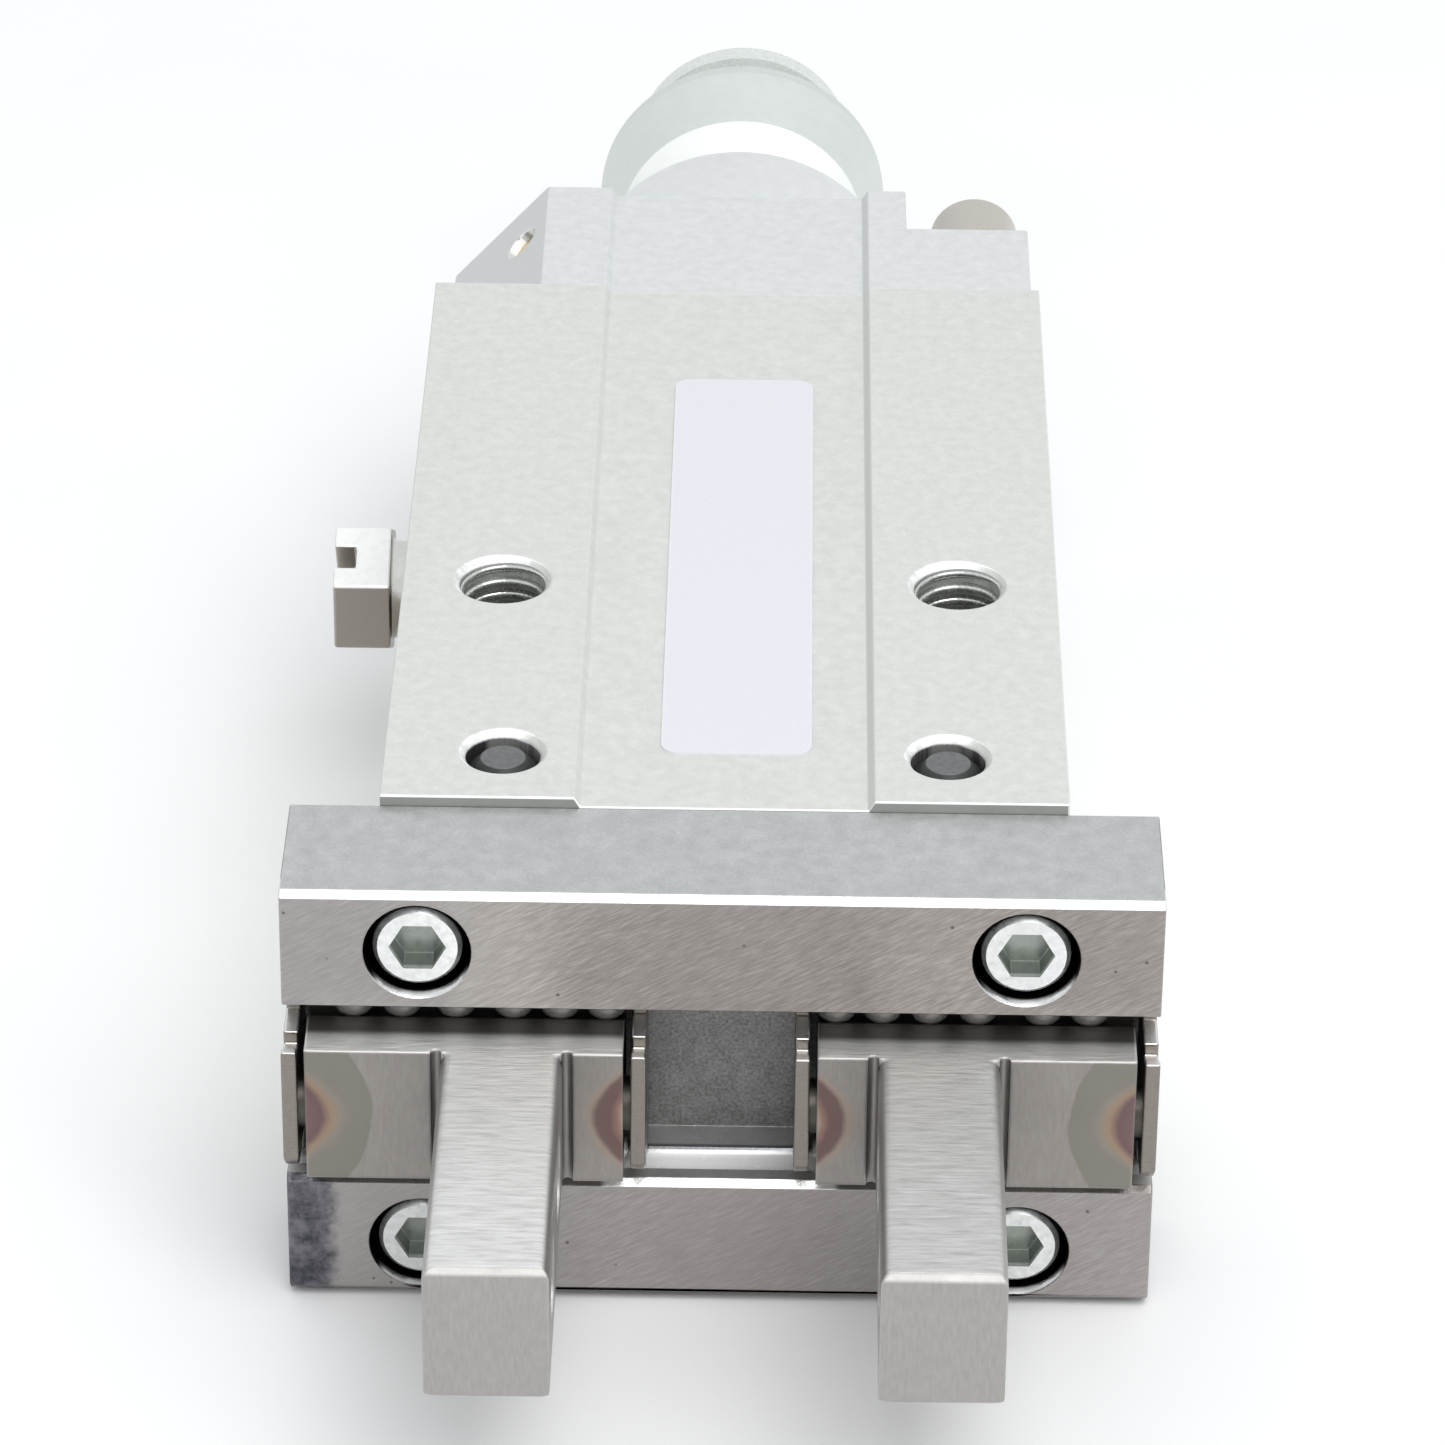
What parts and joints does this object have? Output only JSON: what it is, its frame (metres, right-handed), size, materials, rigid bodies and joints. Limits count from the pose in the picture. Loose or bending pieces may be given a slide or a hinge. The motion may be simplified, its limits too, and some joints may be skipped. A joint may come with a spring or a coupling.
{
  "type": "pneumatic gripper",
  "caption": "Parallel air gripper: two narrow fingers slide on balls in a cross rail, driven by a piston and levers, opened by a spring.",
  "frame": {"origin": "midway between the two threaded mounting holes, on the back face", "axes": "+X along the gripping direction, -Y along the fingers, +Z towards the label side"},
  "size_m": [0.0293, 0.0867, 0.0164],
  "materials": {
    "anodised_body": "matte light anodising",
    "anodised_end": "matte light anodising, slightly cooler",
    "guide_steel": "ground front face with diagonal scratches",
    "finger_steel": "ground, with heat tint at the block ends",
    "pin_steel": "dark chamfer, plain end",
    "stainless": "satin",
    "zinc_screw": "bright zinc",
    "ball_steel": "polished",
    "spring_steel": "drawn wire",
    "nickel": "nickel plated",
    "brass": "turned",
    "rubber": "matte",
    "urethane": "matte",
    "magnet": "matte",
    "filter": "porous",
    "label_film": "satin film",
    "release_ring": "satin"
  },
  "bodies": {
    "housing": {"body": "anodised_body", "guide_rail": "guide_steel", "guide_screws": "zinc_screw", "lever_shafts": "pin_steel", "label": "label_film", "rod_seal": "rubber", "seal_retainer": "stainless", "bumper": "urethane", "end_block": "anodised_end", "end_seal": "rubber", "end_screws": "zinc_screw", "passage_plug": "brass", "exhaust_plug": "nickel", "exhaust_gasket": "rubber", "exhaust_filter": "filter", "fitting_body": "anodised_end", "tube_seal": "rubber", "collet": "stainless"},
    "piston_group": {"piston": "stainless", "piston_seal": "rubber", "piston_magnet": "magnet", "return_spring": "spring_steel"},
    "left_crank": {"left_lever": "finger_steel"},
    "right_crank": {"right_lever": "finger_steel"},
    "left_jaw": {"left_finger": "finger_steel", "left_stoppers": "stainless", "left_stopper_pins": "stainless"},
    "right_jaw": {"right_finger": "finger_steel", "right_stoppers": "stainless", "right_stopper_pins": "stainless"},
    "left_ball_row": {"left_balls": "ball_steel"},
    "right_ball_row": {"right_balls": "ball_steel"},
    "release_ring": {"release_button": "release_ring"}
  },
  "joints": [
    {"name": "piston_slide", "type": "slide", "parent": "housing", "child": "piston_group", "axis": [0, 1, 0], "range_m": [0, 0.00147], "stiffness_N_per_m": 400, "springref_m": -0.001, "deforming": ["return_spring"]},
    {"name": "left_lever_turn", "type": "hinge", "parent": "housing", "child": "left_crank", "pos_m": [-0.0075, -0.0118, 0.0082], "axis": [0, 0, 1], "range_deg": [0, 15.33]},
    {"name": "right_lever_turn", "type": "hinge", "parent": "housing", "child": "right_crank", "pos_m": [0.0075, -0.0118, 0.0082], "axis": [0, 0, -1], "range_deg": [0, 15.33]},
    {"name": "left_finger_slide", "type": "slide", "parent": "housing", "child": "left_jaw", "axis": [1, 0, 0], "range_m": [0, 0.002]},
    {"name": "right_finger_slide", "type": "slide", "parent": "housing", "child": "right_jaw", "axis": [-1, 0, 0], "range_m": [0, 0.002]},
    {"name": "left_balls_roll", "type": "slide", "parent": "housing", "child": "left_ball_row", "axis": [1, 0, 0], "range_m": [0, 0.001]},
    {"name": "right_balls_roll", "type": "slide", "parent": "housing", "child": "right_ball_row", "axis": [-1, 0, 0], "range_m": [0, 0.001]},
    {"name": "release_press", "type": "slide", "parent": "housing", "child": "release_ring", "axis": [0, -1, 0], "range_m": [0, 0.001], "stiffness_N_per_m": 200, "springref_m": -0.0005}
  ],
  "couplings": [
    {"joint": "left_lever_turn", "follows": "piston_slide", "rad_per_m": 182.36},
    {"joint": "right_lever_turn", "follows": "piston_slide", "rad_per_m": 182.36},
    {"joint": "left_finger_slide", "follows": "piston_slide", "ratio": 1.3636},
    {"joint": "right_finger_slide", "follows": "piston_slide", "ratio": 1.3636},
    {"joint": "left_balls_roll", "follows": "piston_slide", "ratio": 0.68182},
    {"joint": "right_balls_roll", "follows": "piston_slide", "ratio": 0.68182}
  ]
}
